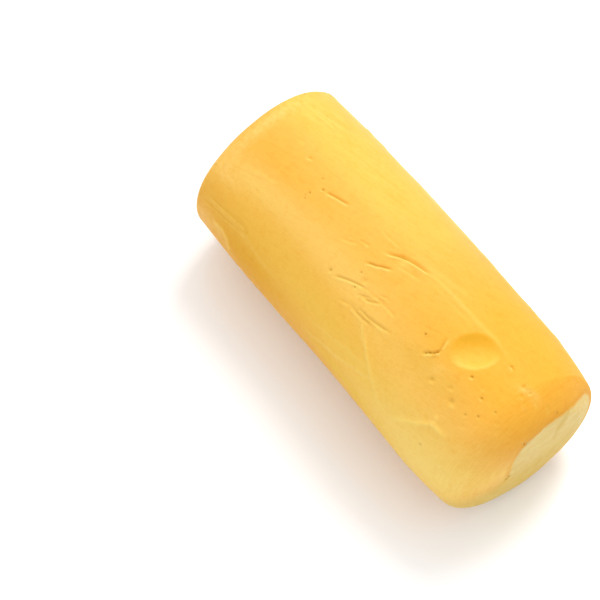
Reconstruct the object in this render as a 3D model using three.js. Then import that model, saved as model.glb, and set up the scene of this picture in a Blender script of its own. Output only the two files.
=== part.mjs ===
// A whole provolone cheese of the log form: a stretched-curd cheese moulded as a thick cylinder, salted,
// and hung to ripen. It is one solid piece with a thin, smooth rind.
//
// The log lies on its side along X, on the narrow flat that its own weight presses into its underside.
// Each end rounds over a low shoulder into a flat disc, where the log has stood while it ripened. The crest
// of the shown side is up, and the marks of handling lie on it: a thumb's dent, creases and a small crack.
//
// Units are millimetres. +X runs along the log, +Z is up, and the origin is under its middle, on the floor.

import * as THREE from "three";
import { ParametricGeometry } from "three/addons/geometries/ParametricGeometry.js";

// ---- Driving dimensions -------------------------------------------------------------------------------

const LENGTH = 313; // from flat to flat
const RADIUS = 70.5; // of the side at mid-length
const WIDENING = 0.008; // growth of the radius for each millimetre towards +X
const BELLY_PRESS = 2.3; // depth of the flat pressed into the underside
const PRESS_BLEND = 1.5; // height over which the side rounds into that flat

// How each end is closed. The side narrows gently over its last reach, and a shoulder of the given length
// rounds into the flat disc, whose middle lies off the log's axis. A roundness of 1 is a plain bevel and 2
// is an elliptic shoulder. A size that varies round the end is its mean plus its lean in the heading's
// direction, headings being degrees from the crest towards +Y.
const SHOWN_END = {
  sign: 1,
  reach: 66,
  narrowing: { mean: 7.8, lean: 0.9, heading: 90 },
  shoulder: { mean: 16, lean: -8.2, heading: 130 },
  roundness: { mean: 2.2, lean: -0.9, heading: 80 },
  flat: { radius: 37, across: 16, up: 3 },
};
const FAR_END = {
  sign: -1,
  reach: 80,
  narrowing: { mean: 2.3, lean: 2.2, heading: 90 },
  shoulder: { mean: 9.6, lean: -2.3, heading: 90 },
  roundness: { mean: 2.1, lean: 0, heading: 90 },
  flat: { radius: 36, across: 5, up: 0 },
};

// Marks on the side. along is the distance from mid-length and across is measured round the girth from
// the crest towards +Y; turn is the angle in degrees from +X towards +Y. The dent's floor and rim are shares
// of its oval outline, and a crease's bow is the rise of its arc.
const DENT = { along: 91.5, across: -3.3, turn: 51, length: 36, width: 26, depth: 3.4, floor: 0.25, rim: 1.1 };
const CREASES = [
  { along: -64.5, across: -5.5, turn: 20, length: 29, bow: 0, width: 1.9, depth: 1.5 },
  { along: 10.6, across: 2.3, turn: 23, length: 50, bow: 2.2, width: 2.6, depth: 1.5 },
  { along: -3.1, across: -14.6, turn: 33, length: 22, bow: -0.5, width: 2.0, depth: 1.0 },
  { along: -6.3, across: -36, turn: 26, length: 30, bow: 0, width: 2.1, depth: 1.1 },
  { along: 11.4, across: -36.3, turn: 27, length: 20, bow: -0.6, width: 1.9, depth: 1.0 },
  { along: 23.9, across: -43.5, turn: 11, length: 36, bow: -1.7, width: 1.9, depth: 0.9 },
  { along: 70.8, across: -24.5, turn: 61, length: 15, bow: -0.8, width: 1.9, depth: 1.3 },
  { along: -38, across: 150, turn: 14, length: 44, bow: 2, width: 2.6, depth: 1.2 },
  { along: 64, across: -148, turn: -20, length: 34, bow: -2, width: 2.4, depth: 1.1 },
  { along: -102, across: 84, turn: 8, length: 30, bow: 1, width: 2.4, depth: 1.0 },
];
const LIP_SHARE = 0.35; // height of the lip pushed up beside a crease, as a share of its depth
const LIP_REACH = 2.0; // distance of that lip from the crease, in crease widths
const TIP_FADE = 0.75; // power of a crease's fading out towards its tips; lower keeps it deep for longer

// Slow unevenness of the hand-stretched side, as waves that run half-turns along and turns round the log.
const WAVES = [
  { height: 0.55, along: 1.5, round: 2, phase: 0.5 },
  { height: 0.8, along: 2.5, round: 3, phase: 3.7 },
  { height: 0.45, along: 4, round: 1, phase: 1.1 },
  { height: 0.4, along: 3.5, round: 5, phase: 5.45 },
];

// Grid of the surface: columns round the girth, closer together on the shown side, and rows from the
// middle of one end to the middle of the other.
const COLUMNS = 84;
const CROWDING = 0.55;
const SHOWN_DIRECTION = -16; // degrees from the crest
const FLAT_ROWS = 2;
const SHOULDER_ROWS = 6;
const SIDE_ROWS = 50;

// ---- Relief of the side -------------------------------------------------------------------------------

const degrees = THREE.MathUtils.degToRad;
const clamp01 = (value) => THREE.MathUtils.clamp(value, 0, 1);
const GIRTH = 2 * Math.PI * RADIUS;

// The mark's own coordinates of a point on the side: p along the mark and q across it.
function inMark(mark, along, across) {
  let around = across - mark.across;
  around -= GIRTH * Math.round(around / GIRTH);
  const ahead = along - mark.along;
  const c = Math.cos(degrees(mark.turn));
  const s = Math.sin(degrees(mark.turn));
  return { p: ahead * c + around * s, q: around * c - ahead * s };
}

// A crease is a bell-shaped groove along a shallow arc, fading out at its two tips, with a low lip on its
// lower side where the curd was pushed up.
function creaseDepth(crease, along, across) {
  const { p, q } = inMark(crease, along, across);
  const share = (2 * p) / crease.length;
  if (Math.abs(share) >= 1) return 0;
  const fade = (1 - share * share) ** TIP_FADE;
  const off = (q - crease.bow * (1 - share * share)) / crease.width;
  return crease.depth * fade * (Math.exp(-off * off) - LIP_SHARE * Math.exp(-((off + LIP_REACH) ** 2)));
}

// The thumb's dent is an oval bowl with a soft rim.
function dentDepth(along, across) {
  const { p, q } = inMark(DENT, along, across);
  const ring = Math.hypot((2 * p) / DENT.length, (2 * q) / DENT.width);
  return DENT.depth * (1 - THREE.MathUtils.smoothstep(ring, DENT.floor, DENT.rim));
}

function waveHeight(along, angle) {
  return WAVES.reduce((sum, wave) => {
    const turnsAlong = (wave.along * Math.PI * along) / LENGTH;
    return sum + wave.height * Math.sin(turnsAlong + wave.round * angle + wave.phase);
  }, 0);
}

// ---- The log's surface --------------------------------------------------------------------------------

// A size that varies round the end, at an angle from the crest towards +Y.
const sizeAt = (size, angle) => size.mean + size.lean * Math.cos(angle - degrees(size.heading));

// Radius of the smooth side at a station along the log.
function sideRadius(along, angle) {
  let radius = RADIUS + WIDENING * along;
  for (const end of [SHOWN_END, FAR_END]) {
    const share = clamp01((end.sign * along - (LENGTH / 2 - end.reach)) / end.reach);
    radius -= sizeAt(end.narrowing, angle) * share * share;
  }
  return radius;
}

// A point of the side with its relief.
function sidePoint(along, angle) {
  let radius = sideRadius(along, angle) + waveHeight(along, angle) - dentDepth(along, RADIUS * angle);
  for (const crease of CREASES) radius -= creaseDepth(crease, along, RADIUS * angle);
  return new THREE.Vector3(along, radius * Math.sin(angle), radius * Math.cos(angle));
}

// A point of an end's flat, from its middle, at share 0, to its rim, at 1.
function flatPoint(end, share, angle) {
  const { radius, across, up } = end.flat;
  const y = across + radius * share * Math.sin(angle);
  const z = up + radius * share * Math.cos(angle);
  return new THREE.Vector3((end.sign * LENGTH) / 2, y, z);
}

// A point of an end's shoulder: a superellipse from the side, at share 0, to the rim of the flat, at 1.
function shoulderPoint(end, share, angle) {
  const turn = (share * Math.PI) / 2;
  const power = 2 / sizeAt(end.roundness, angle);
  const ahead = sizeAt(end.shoulder, angle) * (1 - Math.sin(turn) ** power);
  const inward = 1 - clamp01(Math.cos(turn)) ** power;
  const side = sidePoint(end.sign * (LENGTH / 2 - ahead), angle);
  const rim = flatPoint(end, 1, angle).setX(side.x);
  return side.lerp(rim, inward);
}

// The greater of two heights, rounded over the blend where they meet.
function roundedMax(a, b, blend) {
  const overlap = Math.max(blend - Math.abs(a - b), 0);
  return Math.max(a, b) + (overlap * overlap) / (4 * blend);
}

// A point of the side between the two shoulders, from the far one, at share 0, to the shown one, at 1.
function betweenShoulders(share, angle) {
  const start = sizeAt(FAR_END.shoulder, angle) - LENGTH / 2;
  const finish = LENGTH / 2 - sizeAt(SHOWN_END.shoulder, angle);
  return sidePoint(THREE.MathUtils.lerp(start, finish, share), angle);
}

// Rows of the grid in order, each giving the point at an angle from the crest.
function rowsOfLog() {
  const steps = (count) => Array.from({ length: count }, (_, i) => i / count);
  return [
    ...steps(FLAT_ROWS).map((share) => (angle) => flatPoint(FAR_END, share, angle)),
    ...steps(SHOULDER_ROWS).map((share) => (angle) => shoulderPoint(FAR_END, 1 - share, angle)),
    ...steps(SIDE_ROWS).map((share) => (angle) => betweenShoulders(share, angle)),
    ...steps(SHOULDER_ROWS).map((share) => (angle) => shoulderPoint(SHOWN_END, share, angle)),
    ...steps(FLAT_ROWS).map((share) => (angle) => flatPoint(SHOWN_END, 1 - share, angle)),
    (angle) => flatPoint(SHOWN_END, 0, angle),
  ];
}

// The closed skin of the log, as a grid whose columns crowd together on the shown side.
function logGeometry() {
  const rows = rowsOfLog();
  const pressed = RADIUS - BELLY_PRESS;
  const surface = (u, v, target) => {
    const turn = 2 * Math.PI * (0.5 - u);
    const angle = degrees(SHOWN_DIRECTION) + turn - CROWDING * Math.sin(turn);
    target.copy(rows[Math.round(v * (rows.length - 1))](angle));
    target.z = roundedMax(target.z, -pressed, PRESS_BLEND);
  };
  return new ParametricGeometry(surface, COLUMNS, rows.length - 1);
}

// Places a geometry over the origin: centred in plan, with its lowest face on the floor.
function standOnOrigin(geometry) {
  geometry.computeBoundingBox();
  const { min, max } = geometry.boundingBox;
  return geometry.translate(-(min.x + max.x) / 2, -(min.y + max.y) / 2, -min.z);
}

const rind = new THREE.MeshStandardMaterial({ color: 0xf3bd55, roughness: 0.5, metalness: 0 });
const cheese = new THREE.Mesh(standOnOrigin(logGeometry()), rind);
cheese.name = "provolone";

const part = new THREE.Group();
part.add(cheese);

export default part;
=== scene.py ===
"""A provolone cheese of the log form, lying on its side on a pale studio floor.

The log is one piece. Its form is worked out in millimetres, as on its solid, and scaled to metres at the
end. A place on it is given by along, the distance from mid-length towards +X, and across, the distance
round the girth from the crest towards +Y.
"""

import math

import bpy
import numpy as np
from mathutils import Matrix, Vector


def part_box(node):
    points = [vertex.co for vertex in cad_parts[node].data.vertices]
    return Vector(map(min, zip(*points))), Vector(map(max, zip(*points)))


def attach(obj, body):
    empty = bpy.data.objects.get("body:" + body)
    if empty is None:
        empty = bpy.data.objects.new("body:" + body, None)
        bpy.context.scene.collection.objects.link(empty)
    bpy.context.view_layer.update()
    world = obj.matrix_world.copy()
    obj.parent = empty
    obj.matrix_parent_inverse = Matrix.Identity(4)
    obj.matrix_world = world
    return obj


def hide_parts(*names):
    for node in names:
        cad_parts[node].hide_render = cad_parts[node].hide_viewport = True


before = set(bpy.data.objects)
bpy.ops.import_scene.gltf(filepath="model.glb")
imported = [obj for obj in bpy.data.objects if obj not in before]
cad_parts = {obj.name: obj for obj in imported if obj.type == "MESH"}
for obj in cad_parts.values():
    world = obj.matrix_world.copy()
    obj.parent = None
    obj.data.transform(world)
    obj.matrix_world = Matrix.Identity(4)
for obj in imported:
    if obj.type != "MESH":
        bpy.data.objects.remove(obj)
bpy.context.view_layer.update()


# ==== The cheese =======================================================================================
# Hot stretched curd is pushed into a tube-shaped mould, salted in brine and hung in a net to ripen. It
# comes out as one thick cylinder with a thin oily rind, narrower towards its ends, and with a flat disc
# where it stood to drain. It lies on a narrow flat that its own weight has pressed into its underside.

# ---- Its smooth form ----
# A size that varies round an end is (mean, lean, heading): the mean plus the lean in the heading's
# direction, headings being degrees from the crest towards +Y. The side lies RIND_INSET inside the solid's,
# which leaves room in the solid's box for what stands up from it.
MM = 0.001
box_low, box_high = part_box("provolone")
LENGTH = (box_high.x - box_low.x) / MM
RADIUS = 70.5
WIDENING = 0.008
BELLY_PRESS = 2.3
PRESS_BLEND = 1.5
GIRTH = 2 * math.pi * RADIUS
RIND_INSET = 0.45
SHOWN_END = dict(
    sign=1,
    reach=66,
    narrowing=(7.4, 0.5, 90),
    shoulder=(15.2, -10.0, 148),
    roundness=(1.85, -0.65, 77),
    flat_radius=33,
    flat_across=12.5,
    flat_up=4,
)
FAR_END = dict(
    sign=-1,
    reach=80,
    narrowing=(2.3, 2.2, 90),
    shoulder=(9.6, -2.3, 90),
    roundness=(2.1, 0, 90),
    flat_radius=36,
    flat_across=5,
    flat_up=0,
)
# Slow unevenness of the side: (height, half-turns along the log, turns round it, phase).
WAVES = (
    (0.55, 1.5, 2, 0.5),
    (0.8, 2.5, 3, 3.7),
    (0.45, 4, 1, 1.1),
    (0.4, 3.5, 5, 5.45),
)


def smooth(value, start, finish):
    """Smoothstep: 3t^2 - 2t^3 of the share t that a value has gone from start, up or down, to finish."""
    t = np.clip((value - start) / (finish - start), 0, 1)
    return t * t * (3 - 2 * t)


def size_at(size, angle):
    """A size that varies round an end: its mean plus its lean times the cosine from its heading."""
    mean, lean, heading = size
    return mean + lean * np.cos(angle - math.radians(heading))


def side_radius(along, angle):
    """Radius of the side: nearly constant, less a narrowing that grows with the square of the share."""
    radius = RADIUS - RIND_INSET + WIDENING * along
    for end in (SHOWN_END, FAR_END):
        share = np.clip((end["sign"] * along - LENGTH / 2 + end["reach"]) / end["reach"], 0, 1)
        radius = radius - size_at(end["narrowing"], angle) * share**2
    return radius


def wave_height(along, angle):
    """Sum of the slow waves, each a sine of half-turns along the log plus whole turns round it."""
    height = 0
    for rise, half_turns, turns, phase in WAVES:
        height = height + rise * np.sin(half_turns * math.pi * along / LENGTH + turns * angle + phase)
    return height


# ---- The marks of handling ----
# The rind is soft while it dries and keeps what touches it: a thumb's dent, folds of the curd, a small
# crack, raised lines where a string lay, and pits where gas or whey came out.

# The dent is an oval, turned in degrees from +X towards +Y. Its upper part, which starts and finishes at
# these shares of its width from the middle, is wider, softer at the rim and deeper by these shares.
DENT = dict(along=91.4, across=-2.4, turn=54, length=37, width=27, depth=3.3)
DENT_UPPER = dict(start=-0.35, finish=0.35, wider=0.12, softer=0.5, deeper=0.15)

# Folds of the curd: (points along the fold, half-width, depth). On the right of a fold's course the rind is
# pushed up into a lip, whose height is LIP_SHARE of the depth and which lies LIP_REACH half-widths away.
FOLDS = (
    # Towards the far end: a straight fold, with a short one before it.
    (((-75, -8.8), (-72.2, -7.4)), 1, 0.8),
    (((-71.5, -7.8), (-66, -5.5), (-61, -3.7), (-57.8, -2.6), (-52, -0.4)), 0.8, 1.4),
    # At mid-length: the longest crease, and the folds and wrinkles below it.
    (((-8, -4.2), (-2.5, -0.8), (2, 2.9), (6.5, 5.1), (12, 7), (18, 8.8), (27, 11.2)), 1.2, 1.7),
    (((-11.5, -20), (-7, -17), (-3.5, -15.2), (-1, -13), (6.5, -8.2)), 0.9, 1.4),
    (((-20, -43.2), (-15, -39.8), (-10, -37.2), (-5, -34.8), (0, -32.8), (5, -31.4)), 0.8, 1),
    (((5, -37.4), (9, -36.6), (12, -35.9), (15, -34.2), (18, -31.8), (21.5, -29.6)), 0.8, 0.7),
    (((8, -44.9), (20, -43.9), (26, -42.8), (33, -41.2), (41, -38.8)), 0.8, 0.9),
    (((5, -47.8), (14, -47.6), (20, -46.9), (27, -45.6)), 0.8, 0.7),
    (((15, -27), (17.5, -26), (20.5, -24)), 0.8, 0.5),
    (((-27, -12.6), (-23, -10.8), (-18, -9.4)), 1, 0.6),
    (((-23, 5.4), (-13, 6.4), (-3, 7.4)), 0.9, 0.35),
    (((22, -50.5), (26, -54), (31, -59)), 0.8, 0.5),
    (((2, -39.6), (6.8, -36.2), (12.4, -33.2)), 0.7, 0.6),
    (((10.2, -31), (16, -29.6), (26.5, -28.9), (37, -29)), 0.9, 0.4),
    (((-37, -21.4), (-30, -17.9), (-22, -12)), 0.9, 0.3),
    (((-6, -52), (4.6, -47.4), (11.5, -47.2)), 0.9, 0.35),
    (((6, -3.8), (15.9, -0.1), (25, 2)), 0.9, 0.35),
    # A row of flecks near the shown end.
    (((130.2, 6.6), (131.4, 9.8)), 0.6, 0.6),
    (((133, 6.8), (134.4, 10.2)), 0.6, 0.9),
    (((136.2, 7.8), (137.6, 11.4)), 0.6, 0.9),
    (((139.6, 8.4), (141.4, 11.6)), 0.6, 0.6),
    (((143, 9.2), (144.8, 11.2)), 0.6, 0.5),
    # Two long wrinkles near the far end.
    (((-146.9, 23.9), (-128.5, 34.8), (-114.6, 46.2), (-98.8, 58.9)), 1, 0.3),
    (((-124, 39.4), (-108.4, 50.1), (-92.9, 58.2), (-78, 69)), 1, 0.25),
    # The small crack beside the dent, which turns back on itself.
    (((66.8, -31.8), (69.3, -27.9), (71.6, -26.1), (73.8, -23), (74.6, -20.2)), 0.9, 1.2),
    (((72.6, -25.6), (74, -21), (72.4, -16.8), (71.3, -13.6), (70.6, -10.4)), 0.8, 0.9),
    # Single short folds.
    (((102, -16.8), (105, -15.2)), 1, 0.9),
    (((112.8, 10.2), (115.2, 10.6), (118.2, 10.4)), 0.9, 0.8),
    (((-101.8, -0.8), (-97.4, 1.4)), 1, 0.8),
    (((118, -21.2), (121.4, -20.3)), 0.9, 0.6),
    # The groove below the long raised line.
    (((27, 8), (42, 9), (60, 9.3), (78, 10.6)), 1.7, 0.14),
    # Low wrinkles near the far end, above and on the lower flank.
    (((-148, 26.5), (-136, 28), (-122, 30.5)), 1.3, 0.3),
    (((-134, 35), (-122, 38), (-113, 43), (-104, 49)), 1.1, 0.25),
    (((-140, -80), (-126, -79), (-112, -76.5), (-100, -75), (-88, -78.5)), 1.2, 0.4),
    (((-147, -89), (-125, -85), (-108, -82), (-96, -80), (-86, -86)), 1.2, 0.4),
    # The hidden side.
    (((-57, 143), (-38, 150), (-17, 155.5)), 2.2, 1.3),
    (((48, -142.5), (64, -149.5), (80, -154)), 2, 1.2),
    (((-117, 82), (-102, 85), (-87, 86)), 1.6, 1.1),
    (((-66, 94), (-56, 96.5), (-44, 101)), 1, 0.9),
    (((-60, 104), (-52, 107)), 0.9, 0.6),
    (((10, 116), (22, 119), (36, 125)), 0.9, 0.8),
    (((26, 112), (33, 115.5), (38, 119)), 0.8, 0.6),
    (((66, 84), (76, 88), (84, 93)), 0.9, 0.7),
    (((96, 128), (102, 129), (110, 132)), 0.9, 0.7),
    (((-106, 132), (-94, 137), (-84, 139)), 1, 0.8),
    (((-32, -128), (-20, -124), (-8, -122.5)), 0.9, 0.7),
    (((88, -128), (98, -126), (104, -123)), 0.9, 0.6),
)
LIP_SHARE = 0.6
LIP_REACH = 1.8

# Pleats in a row where the far shoulder starts, drawn together as the end was closed. Each lies a step
# further round than the last one, and sways a little from its place.
PLEATS = dict(count=13, first=70, step=5.4, sway=0.9, sway_turn=2.7)
PLEAT = dict(start=-153, finish=-144.5, lean=2.2, width=1.3, depth=0.9)

# Raised lines: (points along the line, half-width, height). The first is the fold that runs on from the
# longest crease, and the others are where the string of the net lay.
RAISED_LINES = (
    (((14, 7.5), (24, 10.2), (35, 12), (50, 13), (75, 13.6), (92, 14.6), (112, 13.2)), 1.7, 0.22),
    (((14, 8.5), (24.4, 13.9), (45.5, 20.6), (60, 22.5)), 1.4, 0.14),
    (((-129.3, -41), (-115, -36), (-98, -31)), 1.6, 0.22),
    (((13, -45), (25, -53.5), (34, -60.2), (45, -68.8), (54, -75.8), (64, -82), (78, -87)), 1.2, 0.62),
    (((-20, -104.5), (2, -94), (15.5, -89.8), (35.6, -80.8), (60, -71.8)), 1.2, 0.55),
    (((-24, -88), (-6, -83.5), (20, -75), (40, -71.5), (58, -70)), 1.4, 0.22),
    (((78, -86.5), (88, -78.5), (98, -70.5), (107, -61.5), (125, -60.4)), 1.7, 0.78),
    (((108, -62), (107.5, -57.5), (105.5, -53)), 1.6, 0.5),
    (((-152, 28.5), (-136, 30.5), (-120, 32.5), (-98, 35.5)), 1.7, 0.30),
    (((-145.8, 29.2), (-127.4, 45.5), (-111, 58)), 1.5, 0.20),
    (((-136, 33.5), (-122, 36), (-110, 41), (-98, 48.5)), 1.5, 0.22),
    (((-150, 20), (-128, 23), (-96, 31)), 1.6, 0.15),
    (((-145, -84.5), (-125, -81.5), (-103, -79.5), (-86, -83), (-70, -86), (-50, -86.5)), 1.4, 0.22),
    (((-128, -97.5), (-115, -96), (-109, -99.5), (-105.5, -106), (-105, -114)), 1.8, 0.60),
    # The hidden side.
    (((-80, 76), (-38, 90), (4, 109), (52, 142)), 1.5, 0.40),
    (((48, 76), (18, 92), (-8, 121), (-28, 158)), 1.5, 0.34),
    (((96, 76), (112, 93), (122, 118), (124, 140)), 1.6, 0.45),
    (((-132, 100), (-110, 108), (-84, 121), (-62, 150)), 1.5, 0.30),
    (((-70, -122), (-38, -136), (8, -148), (52, -170)), 1.5, 0.32),
)
# A fold or line rises from nothing to its full height between these shares of its length from either tip.
# The first lies just off the tip, so a tip isn't quite faded out.
TIP_FADE = (-0.04, 0.22)

# Round hollows: (along, across, radius, depth). HOLLOW_LIP says how many of its radii from a hollow the
# middle of its lip lies, and how high the lip is as a share of the depth.
HOLLOWS = (
    (3.4, 4, 4, 0.9),
    (-24.5, -42.3, 1.5, 1),
    (-0.8, -28.4, 2, 0.9),
    (-7, -26.6, 1.2, 0.4),
    (-2.4, -36.8, 1.3, 0.6),
    (5.6, -30.8, 1.3, 0.5),
    (11.8, -36, 1.2, 0.5),
    (-33, -15.5, 1.4, 0.3),
    (85.4, -38.8, 1.7, 1.1),
    (106.6, -38.6, 2.3, 1.1),
    (99.2, -32.4, 1.7, 0.6),
    (136.2, 9.4, 1.6, 1),
    (135.3, 2.5, 1.5, 0.7),
    (140, 0.2, 1.6, 0.8),
    (130.8, 8, 1.5, 0.9),
    (141.5, 10.8, 1.5, 0.9),
    (149, 21, 1.8, 0.7),
    (114.6, -15.7, 1.3, 0.5),
    (138.8, -24.8, 1.3, 0.5),
    (127, -31.2, 1.3, 0.4),
    (133, -20, 1.3, 0.4),
    (141.6, -29.8, 1.3, 0.35),
    (120, -37.2, 1.2, 0.35),
    (124, -44.5, 1.6, 0.35),
    (-114.5, 5, 1.8, 0.4),
    (-80.8, -3, 1.3, 0.5),
    (-78.3, -17, 1.2, 0.5),
    (-124, 38.2, 1.3, 0.4),
)
HOLLOW_LIP = dict(along=1.0, across=-0.9, share=0.5)


def pleat(number):
    """One pleat: a straight fold a step beyond the last one, swayed by a sine of its number."""
    sway = PLEATS["sway"] * math.sin(PLEATS["sway_turn"] * number)
    place = PLEATS["first"] + PLEATS["step"] * number + sway
    course = ((PLEAT["start"], place), (PLEAT["finish"], place + PLEAT["lean"]))
    return course, PLEAT["width"], PLEAT["depth"]


FOLDS += tuple(pleat(number) for number in range(PLEATS["count"]))


def bell(offset):
    """A bell of an offset, exp(-t^2): 1 in its middle and nearly 0 at twice the width."""
    return np.exp(-np.square(offset))


def round_the_girth(across, middle):
    """Distance across from a middle, the short way round."""
    around = across - middle
    return around - GIRTH * np.round(around / GIRTH)


def turned_place(along, across, middle_along, middle_across, turn):
    """Distances from the middle of a mark, along and across its own turned direction."""
    ahead, aside = along - middle_along, round_the_girth(across, middle_across)
    c, s = math.cos(math.radians(turn)), math.sin(math.radians(turn))
    return ahead * c + aside * s, aside * c - ahead * s


def near_course(along, across, points):
    """Signed distance from a line of straight steps, positive on its left, and the share of it passed."""
    points = np.array(points)
    steps = np.diff(points, axis=0)
    reach = np.hypot(*steps.T)
    start = np.concatenate([[0], np.cumsum(reach)]) / reach.sum()
    gap = np.full(np.broadcast(along, across).shape, np.inf)
    passed = np.zeros_like(gap)
    for (x0, y0), (dx, dy), length, s0, s1 in zip(points, steps, reach, start, start[1:]):
        ahead, aside = along - x0, round_the_girth(across, y0)
        t = np.clip((ahead * dx + aside * dy) / length**2, 0, 1)
        distance = np.hypot(ahead - t * dx, aside - t * dy)
        left = np.where(dx * aside - dy * ahead < 0, -1, 1)
        nearer = distance < np.abs(gap)
        gap = np.where(nearer, left * distance, gap)
        passed = np.where(nearer, s0 + t * (s1 - s0), passed)
    return gap, passed


def tip_fade(passed):
    """1 along the middle of a line, easing nearly to 0 over its first and last stretch."""
    return smooth(np.minimum(passed, 1 - passed), *TIP_FADE)


def fold_depth(along, across, fold):
    """A bell-shaped groove that fades at both tips, less the bell of the lip on its right."""
    points, width, depth = fold
    gap, passed = near_course(along, across, points)
    offset = gap / width
    return depth * tip_fade(passed) * (bell(offset) - LIP_SHARE * bell(offset + LIP_REACH))


def line_height(along, across, line):
    """A bell-shaped ridge that fades at both tips."""
    points, width, height = line
    gap, passed = near_course(along, across, points)
    return height * tip_fade(passed) * bell(gap / width)


def hollow_bells(along, across, hollow):
    """Two bells of the distance in radii: from the hollow's middle, and from its lip's on the lower right."""
    middle_along, middle_across, radius, _ = hollow
    ahead, aside = (along - middle_along) / radius, round_the_girth(across, middle_across) / radius
    lip = bell(np.hypot(ahead - HOLLOW_LIP["along"], aside - HOLLOW_LIP["across"]))
    return bell(np.hypot(ahead, aside)), lip


def hollow_depth(along, across, hollow):
    """The hollow's own bell, less a share of its lip's."""
    bowl, lip = hollow_bells(along, across, hollow)
    return hollow[-1] * (bowl - HOLLOW_LIP["share"] * lip)


def in_dent(along, across):
    """Places in the dent: widths above its middle, share of its upper part, and share of its oval reached."""
    p, q = turned_place(along, across, DENT["along"], DENT["across"], DENT["turn"])
    upward = q / DENT["width"]
    upper = smooth(upward, DENT_UPPER["start"], DENT_UPPER["finish"])
    widened = 1 + DENT_UPPER["wider"] * upper
    return upward, upper, np.hypot(2 * p / DENT["length"], 2 * upward / widened)


def dent_depth(along, across):
    """A bowl 1 - r^3 of the share r of its oval, raised to a power above 1 and deepened in its upper part."""
    _, upper, share = in_dent(along, across)
    bowl = np.clip(1 - share**3, 0, 1) ** (1 + DENT_UPPER["softer"] * upper)
    return DENT["depth"] * bowl * (1 + DENT_UPPER["deeper"] * upper)


def relief(along, angle):
    """Height of everything on the side: waves and raised lines, less dent, folds and hollows."""
    across = RADIUS * angle
    height = wave_height(along, angle) - dent_depth(along, across)
    height = height - sum(fold_depth(along, across, fold) for fold in FOLDS)
    height = height - sum(hollow_depth(along, across, hollow) for hollow in HOLLOWS)
    return height + sum(line_height(along, across, line) for line in RAISED_LINES)


# Folds in the end faces: (points across the face, +Y then up, half-width, depth).
SHOWN_END["folds"] = (
    (((29, 33), (26, 22), (22, 12), (19, 0)), 3.4, 0.9),
    (((-23, -11), (-18.5, -6)), 1.1, 1.3),
    (((-11, 40), (-8.5, 36.5), (-4, 33)), 1.3, 1.0),
    (((-31, 44), (-26, 40)), 1.6, 0.4),
)
FAR_END["folds"] = (
    (((-30, 12), (-22, 16), (-12, 17)), 2.2, 0.9),
    (((8, -33), (16, -27), (27, -25)), 1.8, 0.8),
    (((20, 28), (27, 20)), 1.6, 0.7),
)
# A low swell of the end faces. Its waves are these millimetres to a radian wide and tall.
SWELL = dict(height=0.22, wide=8, tall=10, wide_phase=1, tall_phase=2)


def face_depth(end, y, z):
    """Depth of an end face: a swell, one plus a sine across times a cosine up, with that face's folds."""
    across_face = np.sin(y / SWELL["wide"] + SWELL["wide_phase"])
    up_face = np.cos(z / SWELL["tall"] + SWELL["tall_phase"])
    folds = sum(fold_depth(y, z, fold) for fold in end["folds"])
    return SWELL["height"] * (1 + across_face * up_face) + folds


# ---- Its skin ----
# One closed sheet: rows from the middle of the far end to the middle of the shown one, and columns round
# the girth, which stand closer together on the side that carries the marks. What marks an end face fades
# out over FACE_REACH behind it.
COLUMNS = 240
CROWDING = 0.62
SHOWN_DIRECTION = math.radians(-14)
FLAT_ROWS = 20
SHOULDER_ROWS = 24
SIDE_ROWS = 326
FACE_REACH = 14


def side_point(along, angle):
    """A point of the side: its station, and the relieved radius turned by the angle from the crest."""
    radius = side_radius(along, angle) + relief(along, angle)
    return np.stack([along + 0 * angle, radius * np.sin(angle), radius * np.cos(angle)], axis=-1)


def flat_point(end, share, angle):
    """A point of an end's flat disc: a share of its radius out from its own middle."""
    reach = end["flat_radius"] * share
    x = end["sign"] * LENGTH / 2 + 0 * reach * angle
    y = end["flat_across"] + reach * np.sin(angle)
    return np.stack([x, y, end["flat_up"] + reach * np.cos(angle)], axis=-1)


def shoulder_point(end, share, angle):
    """A point of a shoulder: a superellipse from the side, at share 0, to the flat's rim, at share 1."""
    power = 2 / size_at(end["roundness"], angle)
    ahead = size_at(end["shoulder"], angle) * (1 - np.sin(share * math.pi / 2) ** power)
    inward = 1 - np.clip(np.cos(share * math.pi / 2), 0, 1) ** power
    side = side_point(end["sign"] * (LENGTH / 2 - ahead), angle)
    rim = flat_point(end, 1 + 0 * share, angle)
    rim[..., 0] = side[..., 0]
    return side + (rim - side) * inward[..., None]


def between_shoulders(share, angle):
    """A point of the side between the shoulders, from the far one, at share 0, to the shown one, at 1."""
    start = size_at(FAR_END["shoulder"], angle) - LENGTH / 2
    finish = LENGTH / 2 - size_at(SHOWN_END["shoulder"], angle)
    return side_point(start + (finish - start) * share, angle)


def rounded_max(a, b, blend):
    """The greater of two heights, rounded over the blend where they meet."""
    overlap = np.maximum(blend - np.abs(a - b), 0)
    return np.maximum(a, b) + overlap**2 / (4 * blend)


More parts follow.
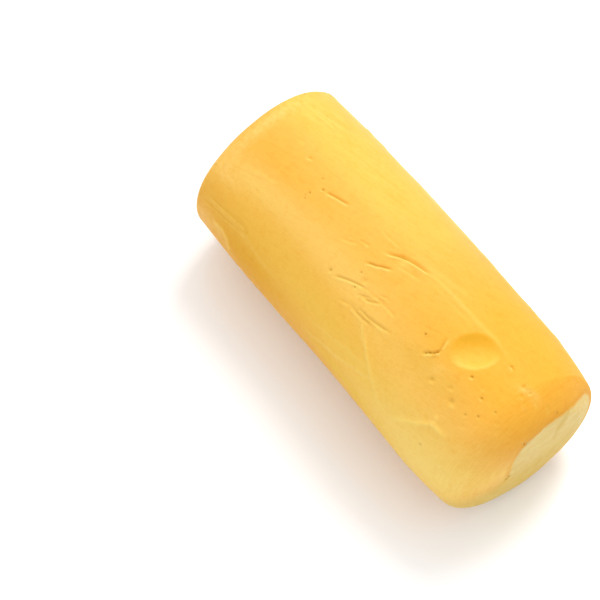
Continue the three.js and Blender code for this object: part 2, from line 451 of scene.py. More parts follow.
def log_skin():
    """Points of the grid, row by row from the far end to the shown one, without the two middles."""
    turn = 2 * math.pi * np.arange(COLUMNS) / COLUMNS - math.pi
    angle = (SHOWN_DIRECTION + turn - CROWDING * np.sin(turn))[None, :]
    flat_share = (np.arange(1, FLAT_ROWS + 1) / FLAT_ROWS)[:, None]
    shoulder_share = (np.arange(SHOULDER_ROWS) / SHOULDER_ROWS)[:, None]
    side_share = (np.arange(1, SIDE_ROWS) / SIDE_ROWS)[:, None]
    skin = np.concatenate([
        flat_point(FAR_END, flat_share, angle),
        shoulder_point(FAR_END, shoulder_share[::-1], angle),
        between_shoulders(side_share, angle),
        shoulder_point(SHOWN_END, shoulder_share, angle),
        flat_point(SHOWN_END, flat_share[::-1], angle),
    ])
    for end in (SHOWN_END, FAR_END):
        on_face = smooth(end["sign"] * skin[..., 0], LENGTH / 2 - FACE_REACH, LENGTH / 2)
        pressed = np.maximum(face_depth(end, skin[..., 1], skin[..., 2]), 0)
        skin[..., 0] -= end["sign"] * on_face * pressed
    skin[..., 2] = rounded_max(skin[..., 2], BELLY_PRESS - RADIUS, PRESS_BLEND)
    return skin


def end_middle(end):
    """The middle of an end's flat disc, at the depth of its face there."""
    y, z = end["flat_across"], end["flat_up"]
    return [end["sign"] * (LENGTH / 2 - max(face_depth(end, y, z), 0)), y, z]


def closed_mesh(name, skin, first_middle, last_middle, place):
    """A mesh of the grid's quads, wrapped round its columns, with a fan of triangles at each middle."""
    rows, columns = skin.shape[:2]
    index = np.arange(rows * columns).reshape(rows, columns)
    after = np.roll(index, -1, axis=1)
    quads = np.stack([index[:-1], after[:-1], after[1:], index[1:]], axis=-1).reshape(-1, 4)
    first, last = rows * columns, rows * columns + 1
    first_fan = np.stack([np.full(columns, first), after[0], index[0]], axis=-1)
    last_fan = np.stack([np.full(columns, last), index[-1], after[-1]], axis=-1)
    points = np.concatenate([skin.reshape(-1, 3), [first_middle, last_middle]])
    mesh = bpy.data.meshes.new(name)
    mesh.from_pydata(points * MM + place, [], [*quads.tolist(), *first_fan.tolist(), *last_fan.tolist()])
    mesh.shade_smooth()
    return mesh, points


# The log lies in the box of its solid: centred in plan, with its pressed flat on the floor.
skin = log_skin()
middle_y = (box_low.y + box_high.y) / 2 - (skin[..., 1].min() + skin[..., 1].max()) / 2 * MM
axis_place = np.array([(box_low.x + box_high.x) / 2, middle_y, box_low.z + (RADIUS - BELLY_PRESS) * MM])
log_mesh, log_points = closed_mesh("log", skin, end_middle(FAR_END), end_middle(SHOWN_END), axis_place)
log = bpy.data.objects.new("log", log_mesh)
bpy.context.scene.collection.objects.link(log)

# ---- Where its tints lie ----
# Smoke and air colour the rind. It is browned round the ends, lemon on the +Y flank and paler where it was
# rubbed, and some tints are painted light and shade. The disc it stood on stays as pale as the curd.
# Each tint's share is worked out for every vertex. A pair of numbers in this part, such as END_FACE, is
# where a share starts from 0 and where it reaches 1, in millimetres unless its comment says otherwise.
x, y, z = log_points.T
angle = np.arctan2(y, z)
across = RADIUS * angle


def attribute(name, values):
    """A number for each vertex of the log, which the rind's material reads by name."""
    layer = log_mesh.attributes.new(name, "FLOAT", "POINT")
    layer.data.foreach_set("value", np.asarray(values, np.float32).ravel())


def laid_over(*shares):
    """Shares laid over each other, each covering its own part of what the others leave bare."""
    return 1 - np.prod([1 - share for share in shares], axis=0)


def patch(strength, middle_along, middle_across, turn, spread_along, spread_across):
    """A soft patch on the side: a bell of the distances along and across it, each in its own spread."""
    p, q = turned_place(x, across, middle_along, middle_across, turn)
    return strength * bell(np.hypot(p / spread_along, q / spread_across))


def behind(end, start, finish):
    """A share that goes from 0 to 1 between two distances behind an end's flat."""
    return smooth(LENGTH / 2 - end["sign"] * x, start, finish)


# -- The end faces --
END_FACE = (24, 10)
on_shown_end = behind(SHOWN_END, *END_FACE)
on_far_end = behind(FAR_END, *END_FACE)

# Outline of the pale disc on the shown end, as +Y and up, clockwise seen with +Y to the right.
PALE_OUTLINE = (
    (-18.5, -9), (-17.5, 2), (-17, 14), (-15, 23), (-12, 30), (-8, 34),
    (0, 37.5), (9, 40), (19, 40), (28, 37.5), (38, 33), (47, 28), (54.5, 21.5),
    (59, 13), (60, 3.5), (57.5, -6.5), (52.5, -15.5), (46, -24), (38, -31),
    (28, -36.5), (17, -39), (6, -38.5), (-3, -35.5), (-10, -29.5), (-15.5, -21),
)
shown_gap, _ = near_course(y, z, PALE_OUTLINE + PALE_OUTLINE[:1])

# The far disc is nearly round: its radius has a wave of two turns and one of three, as shares of it.
FAR_DISC = dict(across=5, up=0, radius=38, two_turns=0.04, phase=0.8, three_turns=0.02)
far_across, far_up = y - FAR_DISC["across"], z - FAR_DISC["up"]
far_heading = np.arctan2(far_across, far_up)
far_wave = FAR_DISC["two_turns"] * np.sin(2 * far_heading + FAR_DISC["phase"])
far_wave = far_wave + FAR_DISC["three_turns"] * np.sin(3 * far_heading)
far_gap = np.hypot(far_across, far_up) - FAR_DISC["radius"] * (1 + far_wave)

# Each disc's edge is sharp in one stretch and soft in another. On the shown disc the softness goes by the
# height, and is greatest low down, where the pale disc fades into painted shade. On the far one it goes by
# the cosine from a heading, where the edge is rubbed soft. OFF_THE_END is added to a disc's gap on the side,
# so that it shows on its own face alone.
SHOWN_EDGE = dict(sharp=1.0, upper=0.5, upper_up=(18, 30), rubbed=8.0, shaded_up=(-4, -28))
FAR_EDGE = dict(sharp=1.4, rubbed=9.0, rubbed_heading=-70, rubbed_cosine=(-0.2, 0.9))
OFF_THE_END = 40
shown_blur = SHOWN_EDGE["sharp"] + SHOWN_EDGE["upper"] * smooth(z, *SHOWN_EDGE["upper_up"])
shown_blur = shown_blur + SHOWN_EDGE["rubbed"] * smooth(z, *SHOWN_EDGE["shaded_up"])
towards_rubbed = np.cos(far_heading - math.radians(FAR_EDGE["rubbed_heading"]))
far_blur = FAR_EDGE["sharp"] + FAR_EDGE["rubbed"] * smooth(towards_rubbed, *FAR_EDGE["rubbed_cosine"])
shown_disc = (shown_gap + OFF_THE_END * (1 - on_shown_end)) / shown_blur
far_disc = (far_gap + OFF_THE_END * (1 - on_far_end)) / far_blur
attribute("disc_edge", np.where(x > 0, shown_disc, far_disc))
attribute("smoked_disc", on_far_end)

# Painted shade on the shown disc: a wedge along its longest fold, deepest in that fold's upper part, and an
# olive painted shade low down, less so towards +Y.
WEDGE = dict(width=4, passed=(1, 0.2))
SHADED = dict(up=(4, -26), across=(-10, 40), less=0.4)
wedge_gap, wedge_passed = near_course(y, z, SHOWN_END["folds"][0][0])
attribute("wedge_shade", on_shown_end * smooth(wedge_passed, *WEDGE["passed"]) * bell(wedge_gap / WEDGE["width"]))
shaded = smooth(z, *SHADED["up"]) * (1 - SHADED["less"] * smooth(y, *SHADED["across"]))
attribute("low_shade", on_shown_end * shaded)

# A thin browned rim stands off each disc by a gap. The shown one's fades out low down.
SHOWN_RIM = dict(gap=2.2, width=1.6, up=(-25, 0))
FAR_RIM = dict(gap=1.6, width=1.3)
shown_rim = bell((shown_gap - SHOWN_RIM["gap"]) / SHOWN_RIM["width"]) * smooth(z, *SHOWN_RIM["up"])
far_rim = bell((far_gap - FAR_RIM["gap"]) / FAR_RIM["width"])
attribute("disc_rim", np.maximum(shown_rim * on_shown_end, far_rim * on_far_end))

# Smoke browned the shown end beside its disc, on the side of a heading seen from a point off the axis, and
# the far end in a ring that runs further back on the hidden side and waxes and wanes round its disc.
SMOKED = dict(strength=0.64, fade=10, shoulder=6, across=14, heading=20, cosine=(-0.2, 0.9))
RING = dict(strength=0.85, start=7, fade=5.5, further=4.5, hidden_cosine=(0.3, -0.4), gap=(-6, 8))
RING_WAVE = dict(mean=0.66, one_turn=0.22, phase=2.2, three_turns=0.10)
from_disc = np.hypot(np.maximum(shown_gap, 0), np.minimum(x - LENGTH / 2 + SMOKED["shoulder"], 0))
towards_smoke = np.cos(np.arctan2(y - SMOKED["across"], z) - math.radians(SMOKED["heading"]))
smoked = SMOKED["strength"] * smooth(towards_smoke, *SMOKED["cosine"]) * np.exp(-from_disc / SMOKED["fade"])
ring_start = RING["start"] + RING["further"] * smooth(np.cos(angle - SHOWN_DIRECTION), *RING["hidden_cosine"])
ring = behind(FAR_END, ring_start, ring_start - RING["fade"]) * smooth(far_gap, *RING["gap"])
ring_wave = RING_WAVE["mean"] + RING_WAVE["one_turn"] * np.sin(far_heading + RING_WAVE["phase"])
ring_wave = ring_wave + RING_WAVE["three_turns"] * np.sin(3 * far_heading)
attribute("browned", np.maximum(smoked, RING["strength"] * ring * ring_wave))

# Ochre stains where the far disc's edge is rubbed: (+Y, up, reach, strength).
STAINS = (
    (-27, 5, 8, 0.55),
    (-18, -14, 6, 0.35),
    (-33, 20, 5, 0.5),
    (12, 30, 6, 0.3),
    (38, -8, 5, 0.35),
)
stains = [shade * bell(np.hypot(y - across_at, z - up) / reach) for across_at, up, reach, shade in STAINS]
attribute("stain", on_far_end * np.maximum.reduce(stains))

# -- The side --
# Two broad washes lie on the crest and the +Y flank: lemon towards the far end, and amber towards the shown
# one. Both stop short of the underside.
LEMON_SIDE = dict(across=(0, 25), along=(50, -60))
AMBER_SIDE = dict(across=(-52, -12), along=(10, 100))
ABOVE_UNDERSIDE = (215, 150)
# Soft patches of each tint: (strength, along, across, turn, spread along, spread across).
PATCHES = dict(
    # The two lemon patches are painted highlights on the +Y flank.
    lemon_and_highlight=((0.8, 0, 43, 0, 9, 9), (0.5, -46, 50, 0, 10, 10)),
    amber=((0.4, -108, -22, 0, 34, 11), (0.5, 71, -24, 60, 11, 5)),
    peach=(
        (1.0, -105, -43, 6, 55, 12),
        (0.8, -25, -38, 0, 60, 15),
        (0.5, 45, -46, -6, 45, 14),
        (0.7, -70, 138, 8, 60, 20),
        (0.5, 40, 165, -6, 70, 18),
    ),
    haze=((0.85, 76, -35, 10, 42, 13),),
    # The mustard's first patch, low on the −Y flank towards the far end, is painted shade. Its second, on the
    # hidden side, is a mustard tint.
    mustard_and_shade=((1.0, -90, -97, 0, 52, 27), (0.6, 70, 186, 0, 70, 26)),
    straw=((1.0, 15, -76, -4, 150, 24),),
    # Painted bounce light: a pale cream patch low on the −Y flank near the shown end.
    painted_bounce=((1.0, 120, -96, 0, 75, 40),),
    # Painted light: the lower −Y edge at mid-length is made lighter and yellower.
    edge=((0.6, 35, -106, 0, 48, 9),),
    combed=((1.0, -95, 38, 12, 75, 22), (0.6, 50, 34, 12, 70, 20)),
    worn=(
        (0.55, -143, -10, 90, 48, 5),
        (0.45, -136, -56, 0, 15, 7),
        (0.45, -137, -105, 0, 12, 12),
        (0.40, -118, -103, -35, 13, 5),
        (0.55, 136, 9, 35, 8, 3),
        (0.25, 83, -31, 40, 6, 4),
        (0.5, 36, 104, 22, 24, 6),
        (0.45, -102, 118, -20, 16, 9),
        (0.4, 118, 112, 70, 18, 7),
        (0.4, -18, -140, 10, 30, 8),
    ),
)
shares = {name: laid_over(*(patch(*row) for row in rows)) for name, rows in PATCHES.items()}
for name, side in (("lemon_and_highlight", LEMON_SIDE), ("amber", AMBER_SIDE)):
    broad = smooth(across, *side["across"]) * smooth(x, *side["along"]) * smooth(across, *ABOVE_UNDERSIDE)
    shares[name] = laid_over(broad, shares[name])
# The painted bounce light thins out on the shown shoulder, where the fibres run round the log in rings.
BOUNCE_THINNING = dict(less=0.35, behind=(11.5, 2.5))
RINGED = (45, 12)
thinning = BOUNCE_THINNING["less"] * behind(SHOWN_END, *BOUNCE_THINNING["behind"])
shares["painted_bounce"] = shares["painted_bounce"] * (1 - thinning)
shares["ringed"] = behind(SHOWN_END, *RINGED)
for name, share in shares.items():
    attribute(name, share)

# -- The dent --
# Painted light and shade in the dent: its floor painted paler, most on its lower part, a painted highlight on
# the edge of its lower rim, and painted shade on its upper wall. Each lies between shares of the dent's oval,
# and between heights above its middle in widths.
DENT_FLOOR = dict(oval=(1, 0.75), height=(0.35, -0.55))
DENT_RIM = dict(middle=0.86, width=0.11, height=(0.02, -0.36))
DENT_WALL = dict(oval=(1.12, 0.85), height=(-0.25, 0.5))
upward, _, oval = in_dent(x, across)
rim = bell((oval - DENT_RIM["middle"]) / DENT_RIM["width"])
attribute("dent_floor_light", smooth(oval, *DENT_FLOOR["oval"]) * smooth(upward, *DENT_FLOOR["height"]))
attribute("dent_rim_highlight", rim * smooth(upward, *DENT_RIM["height"]))
attribute("dent_wall_shade", smooth(oval, *DENT_WALL["oval"]) * smooth(upward, *DENT_WALL["height"]))

# -- Folds, hollows and raised lines --
# A fold carries painted shade as it is deep, up to the deepest, and its painted shade fades out between the
# near distances.
FOLD_SHADE = dict(out_of_reach=9, deepest=1.5, near=(7, 3))


def nearest_fold():
    """Signed distance from the nearest fold, and that fold's fading depth, no more than the deepest."""
    gap = np.full(len(x), float(FOLD_SHADE["out_of_reach"]))
    depth_there = np.zeros(len(x))
    for points, _, depth in FOLDS:
        fold_gap, passed = near_course(x, across, points)
        nearer = np.abs(fold_gap) < np.abs(gap)
        gap = np.where(nearer, fold_gap, gap)
        depth_there = np.where(nearer, depth * tip_fade(passed), depth_there)
    return gap, np.minimum(depth_there, FOLD_SHADE["deepest"])


fold_gap, fold_shade = nearest_fold()
attribute("fold_gap", fold_gap)
attribute("fold_shade", fold_shade * smooth(np.abs(fold_gap), *FOLD_SHADE["near"]))
# Painted shade in the hollows' bowls, and painted highlight on their lips and on the raised lines.
hollow_shades = np.array([np.multiply(hollow_bells(x, across, hollow), hollow[-1]) for hollow in HOLLOWS])
bowls, bowl_lips = hollow_shades.max(axis=0)
attribute("bowl", bowls)
attribute("bowl_lip", bowl_lips)
attribute("raised", np.maximum.reduce([line_height(x, across, line) for line in RAISED_LINES]))

# ---- Its material ----
# The rind is thin, oily and half see-through, so light sinks a few millimetres into it. It has fine fibres
# that wind slowly round the log, cloudy mottling and small brown pinholes. Its folds and hollows are darkened
# with painted shade, and their lips and the raised lines lightened with a painted highlight.

# The washes are laid over the gold in this order, each where its attribute says.
GOLD = (0.745, 0.367, 0.053)
# Painted light and shade among the washes: the lemon's highlight patches, the mustard's patch low on the −Y
# flank, the painted bounce and the edge.
WASHES = dict(
    lemon_and_highlight=(0.745, 0.415, 0.065),
    amber=(0.745, 0.350, 0.032),
    peach=(0.762, 0.458, 0.100),
    haze=(0.665, 0.368, 0.052),
    mustard_and_shade=(0.665, 0.310, 0.016),
    straw=(0.795, 0.458, 0.061),
    painted_bounce=(0.815, 0.548, 0.133),
    edge=(0.740, 0.455, 0.030),
)
WORN = (0.830, 0.525, 0.148)
BROWN = (0.650, 0.275, 0.014)
CURD = (0.680, 0.480, 0.155)
SMOKED_CURD = (0.690, 0.435, 0.115)
# An olive painted shade low on the shown disc, and the painted shade of its wedge.
LOW_SHADE_TINT = (0.640, 0.425, 0.092)
WEDGE_SHADE_TINT = (0.604, 0.391, 0.075)
# Painted light on the dent's floor, and painted shade on its upper wall.
DENT_FLOOR_LIGHT_TINT = (0.737, 0.444, 0.057)
DENT_WALL_SHADE_TINT = (0.600, 0.310, 0.006)
# Painted shade for grooves and bowls, and a painted highlight for lips, the raised lines and the dent's rim.
FOLD_SHADE_TINT = (0.420, 0.245, 0.004)
HIGHLIGHT_TINT = (0.816, 0.550, 0.124)
PINHOLE_TINT = (0.27, 0.13, 0.0)
# How strongly a tint is laid where its attribute is 1. The raised lines' is for each millimetre of height.
STRENGTH = dict(dent_wall_shade=0.6, dent_rim_highlight=0.3, disc_rim=0.6, wedge_shade=0.8, raised=1.04, combed=0.5, ringed=0.45)
# A fold's groove, with its painted shade, and lip, with its painted highlight: middle and width of each one's
# bell beside the fold, and strength of its tint. A hollow's bowl and lip have a share of them.
GROOVE = dict(middle=0.2, width=0.5, strength=0.3)
LIP = dict(middle=-1.8, width=1.1, strength=0.45)
HOLLOW_SHARE = 0.6

# Noises: (size of the grains in millimetres, detail, times drawn out, turn in degrees round X, Y and Z).
UNTURNED = (0, 0, 0)
FIBRE_TURN = (0, 0, 17)
NOISES = dict(
    grain=(1.3, 2, 1, UNTURNED),
    fleck=(3.6, 2, 1, UNTURNED),
    cloud=(9.0, 2, 1, UNTURNED),
    mottle=(24.0, 3, 1, UNTURNED),
    fine_fibre=(1.0, 2, 20, FIBRE_TURN),
    wide_fibre=(3.2, 2, 18, FIBRE_TURN),
    ring_fibre=(12.0, 2, 1 / 12, UNTURNED),
    disc_fibre=(1.1, 2, 12, (0, -35, 90)),
)
# Weights of the noises in what is made of them. Those of the bumps are heights.
SPECKLED = dict(grain=0.27, fleck=0.29, cloud=0.22, fine_fibre=0.24, wide_fibre=0.17)
PATCHY = dict(cloud=0.7, fleck=0.3)
RAGGED = dict(cloud=0.6, fleck=0.4)
STRANDS = dict(fine_fibre=0.55, wide_fibre=0.45)
BUMPS = dict(grain=0.10 * MM, fleck=0.16 * MM, fine_fibre=0.12 * MM, wide_fibre=0.18 * MM)
# A noise lies mostly within one of these ranges round its middle.
FULL_RANGE = (0.2, 0.8)
WIDE_RANGE = (0.3, 0.7)
FIBRE_RANGE = (0.35, 0.65)
CLOUD_RANGE = (0.34, 0.66)
SPECKLE_RANGE = (0.38, 0.62)
STRAND_RANGE = (0.40, 0.60)
# What they vary: the tone, from one tint that multiplies the colour to the other, the shares of worn and of
# browned rind, the place of a disc's edge in its softness, and the roughness.
DROP = (0.98, 0.93, 0.83)
LIFT = (1.02, 1.07, 1.17)
WORN_VARIES = (0.5, 1.0)
BROWN_VARIES = (0.55, 1.25)
EDGE_VARIES = (-0.5, 0.5)
ROUGHNESS_VARIES = (0.44, 0.58)

FINISH = {
    "IOR": 1.45,
    "Specular IOR Level": 0.10,
    "Subsurface Weight": 0.15,
    "Subsurface Radius": (1.0, 0.55, 0.15),
    "Subsurface Scale": 1.5 * MM,
}

# Pinholes: (along, across, radius, darkness).
PINHOLES = (
    (-80.8, -2.9, 0.9, 0.14),
    (-78.3, -16.8, 0.8, 0.26),
    (-79.3, -20, 0.7, 0.19),
    (-77.7, -22, 0.6, 0.15),
    (-73.6, -8.2, 1, 0.16),
    (-124, 38, 0.8, 0.15),
    (-24.5, -42.3, 1, 0.15),
    (-7, -26.4, 0.7, 0.19),
    (-2.4, -36.5, 0.8, 0.19),
    (58.2, -20.6, 0.9, 0.56),
    (68.8, -29.4, 0.8, 0.25),
    (70.6, -27.2, 0.9, 0.32),
    (72.9, -25, 0.8, 0.28),
    (73.9, -22.6, 0.7, 0.22),
    (114.8, 10.6, 1.2, 0.15),
    (103.4, -16, 1, 0.22),
    (133, -19.8, 0.8, 0.22),
    (127.2, -31, 0.9, 0.30),
    (120, -37, 0.8, 0.15),
    (119.4, -20.6, 0.8, 0.19),
    (144, -19, 0.8, 0.15),
    (141.5, -29.8, 0.8, 0.15),
    (109, -81.2, 1.1, 0.15),
    (-149.2, 37, 1, 0.38),
    (-148.6, -58.8, 1.5, 0.38),
    (-147.2, -57.4, 1, 0.22),
    (-148.8, -76, 1.1, 0.26),
    # The hidden side.
    (-40, 110, 0.9, 0.28),
    (-36.4, 113.6, 0.8, 0.22),
    (-31, 112, 0.7, 0.18),
    (17, 95, 0.9, 0.30),
    (55, 130, 1, 0.26),
    (60, 133.4, 0.8, 0.20),
    (101, 100, 0.9, 0.30),
    (88, 116, 0.8, 0.20),
    (-88, 104, 0.9, 0.26),
    (112, 150, 0.8, 0.22),
    (-15, 166, 0.9, 0.26),
    (-60, -135, 0.9, 0.26),
    (30, -130, 0.8, 0.26),
    (34.2, -133, 0.7, 0.20),
)
# Pinholes in the end faces: (end, +Y, up, radius, darkness).
FACE_PINHOLES = (
    (SHOWN_END, -21.6, -9.6, 1.5, 0.45),
    (SHOWN_END, -19.6, -7.4, 1.5, 0.45),
    (SHOWN_END, -8.9, 37.3, 1.6, 0.30),
    (SHOWN_END, -6.6, 34.8, 1.4, 0.30),
    (SHOWN_END, 21.5, 44.5, 1.2, 0.30),
    (FAR_END, -31, 26, 1, 0.7),
    (FAR_END, -28.5, 29, 0.8, 0.6),
    (FAR_END, -34, 22.5, 0.8, 0.5),
    (FAR_END, 26, -27, 1.1, 0.7),
    (FAR_END, 30.5, -25, 0.9, 0.6),
    (FAR_END, 33, -29, 0.9, 0.7),
    (FAR_END, 38.5, -18, 0.8, 0.6),
)
# A pinhole eases out between these shares of its radius, and is this deep.
PINHOLE_FADE = (0.3, 1.4)
PINHOLE_DEPTH = 0.4 * MM


def surface_place(along, across):
    """The point of the finished rind at a place on the side."""
    return side_point(np.array(along), np.array(across / RADIUS)) * MM + axis_place


def face_place(end, y, z):
    """The point of the finished rind on an end face, at the depth of a vertex that is near and well out."""
    nearest = np.argmin(np.hypot(log_points[:, 1] - y, log_points[:, 2] - z) - end["sign"] * log_points[:, 0])
    return np.array([log_points[nearest, 0], y, z]) * MM + axis_place


class Nodes:
    """Short-hand for a material's nodes: each call adds one, sets or wires its inputs, returns its output."""

    def __init__(self, material):
        self.tree = material.node_tree

    def add(self, kind, inputs=(), output=0, **settings):
        """A node of a kind with its settings, its inputs by place or name, and the output that is wanted."""
        made = self.tree.nodes.new(kind)
        for name, value in settings.items():
            setattr(made, name, value)
        for place, value in dict(inputs).items():
            self.put(made.inputs[place], value)
        return made.outputs[output]

    def put(self, socket, value):
        """Wires a socket to another node's output, or sets its constant."""
        if isinstance(value, bpy.types.NodeSocket):
            self.tree.links.new(value, socket)
        elif socket.type == "RGBA":
            socket.default_value = (*value, 1)
        else:
            socket.default_value = value

    def math(self, operation, a, b=0.0, c=0.0):
        """One step of arithmetic."""
        return self.add("ShaderNodeMath", {0: a, 1: b, 2: c}, operation=operation)

    def blend(self, share, a, b, mode="MIX"):
        """Colour a, with a share of colour b laid over it."""
        return self.add("ShaderNodeMix", {0: share, 6: a, 7: b}, output=2, data_type="RGBA", blend_type=mode)

    def ranged(self, value, start, finish, first=0.0, last=1.0, easing="SMOOTHSTEP"):
        """A value brought from first to last as it goes from start to finish."""
        inputs = {0: value, 1: start, 2: finish, 3: first, 4: last}
        return self.add("ShaderNodeMapRange", inputs, interpolation_type=easing)

    def bell(self, value, middle, width):
        """The bell of a value's distance from a middle."""
        share = self.math("DIVIDE", self.math("SUBTRACT", value, middle), width)
        return self.math("POWER", math.e, self.math("MULTIPLY", self.math("MULTIPLY", share, share), -1.0))

    def noise(self, place, size, detail, length, turn):
        """Noise with grains of a size in millimetres, drawn out along one turned direction."""
        drawn = {"Vector": place, "Scale": (length, 1, 1), "Rotation": [math.radians(part) for part in turn]}
        moved = self.add("ShaderNodeMapping", drawn, vector_type="TEXTURE")
        return self.add("ShaderNodeTexNoise", {"Vector": moved, "Scale": 1 / (size * MM), "Detail": detail})

    def mixed(self, noises, weights):
        """Sum of noises, each times its weight."""
        total = 0.0
        for name, weight in weights.items():
            total = self.math("MULTIPLY_ADD", noises[name], weight, total)
        return total

    def named(self, name):
        """A number that the mesh carries on its vertices."""
        return self.add("ShaderNodeAttribute", output="Fac", attribute_name=name)

    def lay(self, colour, name, tint, strength=1.0):
        """A colour with a tint laid over it where the mesh's number of that name says."""
        return self.blend(self.math("MULTIPLY", self.named(name), strength), colour, tint)

    def tone(self, colour, share, value, start, finish, easing="SMOOTHSTEP"):
        """A colour multiplied, by a share, by a tint that goes from DROP to LIFT with a value."""
        multiplier = self.blend(self.ranged(value, start, finish, easing=easing), DROP, LIFT)
        return self.blend(share, colour, multiplier, "MULTIPLY")


def washed(n, noises):
    """The gold with the washes, the worn patches and the dent's painted light and shade laid over it in turn.
    """
    colour = GOLD
    for name, tint in WASHES.items():
        colour = n.lay(colour, name, tint)
    colour = n.lay(colour, "worn", WORN, n.ranged(noises["fleck"], *WIDE_RANGE, *WORN_VARIES))
    colour = n.lay(colour, "dent_wall_shade", DENT_WALL_SHADE_TINT, STRENGTH["dent_wall_shade"])
    colour = n.lay(colour, "dent_floor_light", DENT_FLOOR_LIGHT_TINT)
    return n.lay(colour, "dent_rim_highlight", HIGHLIGHT_TINT, STRENGTH["dent_rim_highlight"])


def with_ends(n, colour, noises):
    """The colour with both ends' browned rind and discs, and the shown disc's painted shade, laid over it,
    and the discs' share.
    """
    patchy = n.ranged(n.mixed(noises, PATCHY), *CLOUD_RANGE, *BROWN_VARIES)
    colour = n.lay(colour, "browned", BROWN, patchy)
    colour = n.lay(colour, "disc_rim", BROWN, STRENGTH["disc_rim"])
    wander = n.ranged(n.mixed(noises, RAGGED), *CLOUD_RANGE, *EDGE_VARIES)
    disc = n.ranged(n.math("ADD", n.named("disc_edge"), wander), -1.0, 1.0, 1.0, 0.0)
    colour = n.blend(disc, colour, n.blend(n.named("smoked_disc"), CURD, SMOKED_CURD))
    colour = n.lay(colour, "stain", BROWN, patchy)
    colour = n.lay(colour, "wedge_shade", WEDGE_SHADE_TINT, STRENGTH["wedge_shade"])
    return n.lay(colour, "low_shade", LOW_SHADE_TINT), disc


def with_marks(n, colour):
    """The colour with a painted highlight on raised lines and lips, and painted shade in grooves and bowls.
    """
    gap, shade = n.named("fold_gap"), n.named("fold_shade")
    groove = n.math("MULTIPLY", n.bell(gap, GROOVE["middle"], GROOVE["width"]), shade)
    groove = n.math("MULTIPLY_ADD", n.named("bowl"), HOLLOW_SHARE, groove)
    lip = n.math("MULTIPLY", n.bell(gap, LIP["middle"], LIP["width"]), shade)
    lip = n.math("MULTIPLY_ADD", n.named("bowl_lip"), HOLLOW_SHARE, lip)
    colour = n.lay(colour, "raised", HIGHLIGHT_TINT, STRENGTH["raised"])
    colour = n.blend(n.math("MULTIPLY", lip, LIP["strength"]), colour, HIGHLIGHT_TINT)
    return n.blend(n.math("MULTIPLY", groove, GROOVE["strength"]), colour, FOLD_SHADE_TINT)


def with_tones(n, colour, noises, disc):
    """The colour speckled, and streaked by fibres along the side, round the shoulder and on the discs."""
    colour = n.tone(colour, 1.0, n.mixed(noises, SPECKLED), *SPECKLE_RANGE, "LINEAR")
    combed = n.math("MULTIPLY", n.named("combed"), STRENGTH["combed"])
    colour = n.tone(colour, combed, n.mixed(noises, STRANDS), *STRAND_RANGE)
    ringed = n.math("MULTIPLY", n.named("ringed"), STRENGTH["ringed"])
    colour = n.tone(colour, ringed, noises["ring_fibre"], *FIBRE_RANGE)
    return n.tone(colour, disc, noises["disc_fibre"], *FIBRE_RANGE)


def pinholes(n, place):
    """Share of the pinholes' depth, and their darkness: full near a middle, easing to 0 past the radius."""
    holes = [(surface_place(along, across), radius, shade) for along, across, radius, shade in PINHOLES]
    holes += [(face_place(end, y, z), radius, shade) for end, y, z, radius, shade in FACE_PINHOLES]
    pits = 0.0
    darkness = 0.0
    for middle, radius, shade in holes:
        between = {0: place, 1: tuple(middle)}
        distance = n.add("ShaderNodeVectorMath", between, output="Value", operation="DISTANCE")
        start, finish = (share * radius * MM for share in PINHOLE_FADE)
        pit = n.ranged(distance, start, finish, 1.0, 0.0)
        pits = n.math("MAXIMUM", pits, pit)
        darkness = n.math("MAXIMUM", darkness, n.math("MULTIPLY", pit, shade))
    return pits, darkness


def rind_material():
    """Washes of tint laid over each other, then the ends, folds with their lips, fibres and pinholes."""
    rind = bpy.data.materials.new("rind")
    rind.use_nodes = True
    rind.node_tree.nodes.clear()
    n = Nodes(rind)
    place = n.add("ShaderNodeTexCoord", output="Object")
    noises = {name: n.noise(place, *row) for name, row in NOISES.items()}

    colour, disc = with_ends(n, washed(n, noises), noises)
    colour = with_tones(n, with_marks(n, colour), noises, disc)
    pits, darkness = pinholes(n, place)
    colour = n.blend(darkness, colour, PINHOLE_TINT)
    height = n.math("MULTIPLY_ADD", pits, -PINHOLE_DEPTH, n.mixed(noises, BUMPS))

    surface = n.add("ShaderNodeBsdfPrincipled", {
        "Base Color": colour,
        "Roughness": n.ranged(noises["mottle"], *FULL_RANGE, *ROUGHNESS_VARIES),
        "Normal": n.add("ShaderNodeBump", {"Strength": 1.0, "Distance": 1.0, "Height": height}),
        **FINISH,
    })
    output = rind.node_tree.nodes.new("ShaderNodeOutputMaterial")
    n.put(output.inputs["Surface"], surface)
    return rind


log_mesh.materials.append(rind_material())
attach(log, "root")
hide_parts("provolone")


# ==== The floor ========================================================================================
# A wide sheet of white acrylic lies flat under the log. Its top is polished, so it shows a faint image of
# what lies on it.

FLOOR_REACH = 3.0
FLOOR_WHITE = (0.92, 0.92, 0.92, 1)
FLOOR_ROUGHNESS = 0.15
floor_mesh = bpy.data.meshes.new("floor")
corners = [(-1, -1), (1, -1), (1, 1), (-1, 1)]
floor_mesh.from_pydata([(FLOOR_REACH * u, FLOOR_REACH * v, 0) for u, v in corners], [], [(0, 1, 2, 3)])
floor = bpy.data.objects.new("floor", floor_mesh)
bpy.context.scene.collection.objects.link(floor)
acrylic = bpy.data.materials.new("white_acrylic")
acrylic.use_nodes = True
acrylic_sockets = acrylic.node_tree.nodes["Principled BSDF"].inputs
acrylic_sockets["Base Color"].default_value = FLOOR_WHITE
acrylic_sockets["Roughness"].default_value = FLOOR_ROUGHNESS
floor_mesh.materials.append(acrylic)


# ==== The light ========================================================================================
# White walls all round light the log evenly. One soft square lamp hangs high beyond its +Y side and far
# end, turned towards it.

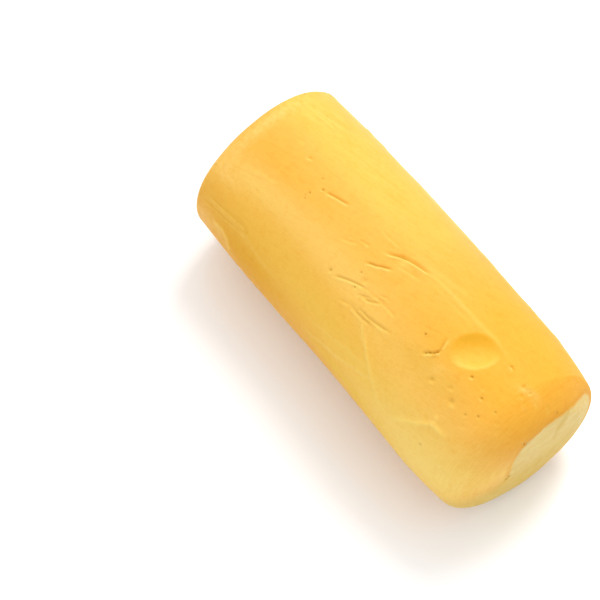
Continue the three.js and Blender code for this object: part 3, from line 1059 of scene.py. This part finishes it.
WALL_WHITE = (1, 1, 1, 1)
WALL_LIGHT = 1.08
world = bpy.data.worlds.new("studio")
world.use_nodes = True
wall_sockets = world.node_tree.nodes["Background"].inputs
wall_sockets["Color"].default_value = WALL_WHITE
wall_sockets["Strength"].default_value = WALL_LIGHT
bpy.context.scene.world = world

LAMP_PLACE = Vector((-0.48, 1.16, 2.05))
LAMP_SIZE = 0.9
LAMP_POWER = 31
lamp_light = bpy.data.lights.new("lamp", "AREA")
lamp_light.size = LAMP_SIZE
lamp_light.energy = LAMP_POWER
lamp = bpy.data.objects.new("lamp", lamp_light)
lamp.location = LAMP_PLACE
lamp.rotation_mode = "QUATERNION"
lamp.rotation_quaternion = (Vector(axis_place) - LAMP_PLACE).to_track_quat("-Z", "Y")
bpy.context.scene.collection.objects.link(lamp)


# ==== The camera =======================================================================================
# It looks steeply down on the shown side from beyond the shown end, so that the log lies across the picture
# with its pale disc nearer.

PICTURE_SIDE = 600
LOG_MIDDLE_IN_PICTURE = (392.9, 298.85)
FIELD_OF_VIEW = math.radians(13.7)
SENSOR_WIDTH = 36
AZIMUTH = math.radians(52.35)
ELEVATION = math.radians(64.93)
DISTANCE = 1.8215

back = Vector((
    math.sin(AZIMUTH) * math.cos(ELEVATION),
    -math.cos(AZIMUTH) * math.cos(ELEVATION),
    math.sin(ELEVATION),
))
right = Vector((math.cos(AZIMUTH), math.sin(AZIMUTH), 0))
up = back.cross(right)
half_view = math.tan(FIELD_OF_VIEW / 2)
metres_per_pixel = DISTANCE * half_view / (PICTURE_SIDE / 2)
right_of_centre = (LOG_MIDDLE_IN_PICTURE[0] - PICTURE_SIDE / 2) * metres_per_pixel
above_centre = (PICTURE_SIDE / 2 - LOG_MIDDLE_IN_PICTURE[1]) * metres_per_pixel

lens = bpy.data.cameras.new("camera")
lens.sensor_width = SENSOR_WIDTH
lens.lens = SENSOR_WIDTH / 2 / half_view
camera = bpy.data.objects.new("camera", lens)
camera.location = Vector(axis_place) + back * DISTANCE - right * right_of_centre - up * above_centre
camera.rotation_mode = "QUATERNION"
camera.rotation_quaternion = Matrix((right, up, back)).transposed().to_quaternion()
bpy.context.scene.collection.objects.link(camera)
bpy.context.scene.camera = camera
bpy.context.scene.view_settings.view_transform = "Standard"
